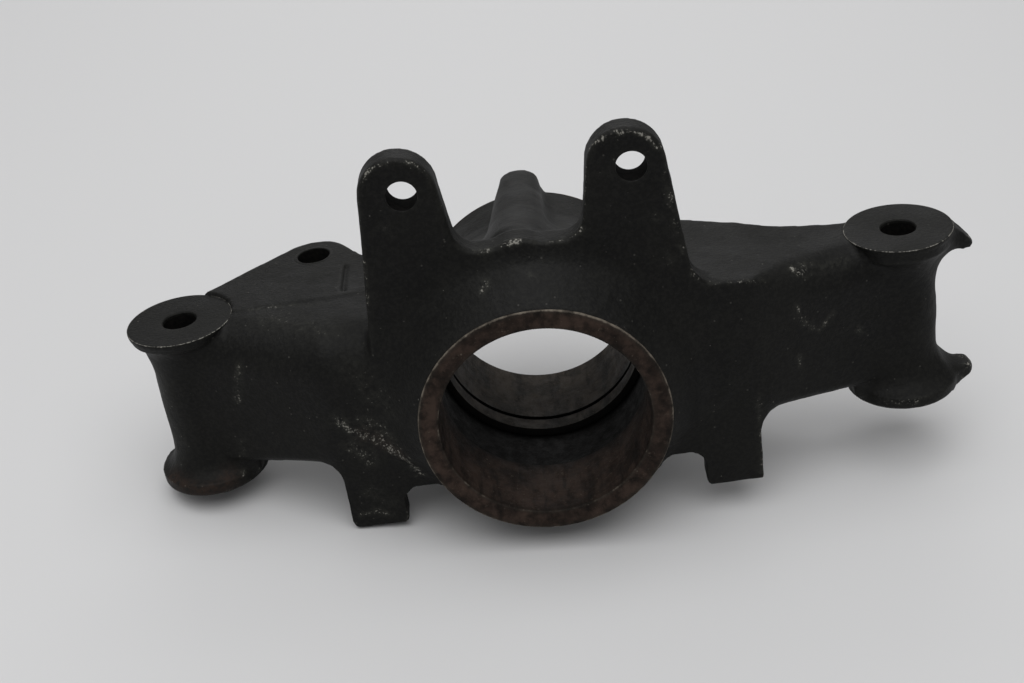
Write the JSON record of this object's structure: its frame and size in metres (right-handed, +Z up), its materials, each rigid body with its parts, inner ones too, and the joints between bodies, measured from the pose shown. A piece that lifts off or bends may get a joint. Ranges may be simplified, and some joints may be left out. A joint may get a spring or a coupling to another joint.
{
  "type": "steering knuckle",
  "caption": "Cast-iron steering knuckle: bored hub with a flared front plate, caliper ears, feet, arms with pivot bosses and a steering arm.",
  "frame": {"origin": "centre of the wheel-bearing bore in the outer face of the hub", "axes": "+Y along the bore from the outer face to the inner end, +Z up through the caliper ears and along the pivot holes, +X from the boss beside the steering arm to the boss with the stops"},
  "size_m": [0.3004, 0.0976, 0.1461],
  "materials": {
    "casting": "worn black paint over rough iron, machined seats with light rust"
  },
  "bodies": {
    "root": {"knuckle": "casting"}
  },
  "joints": []
}
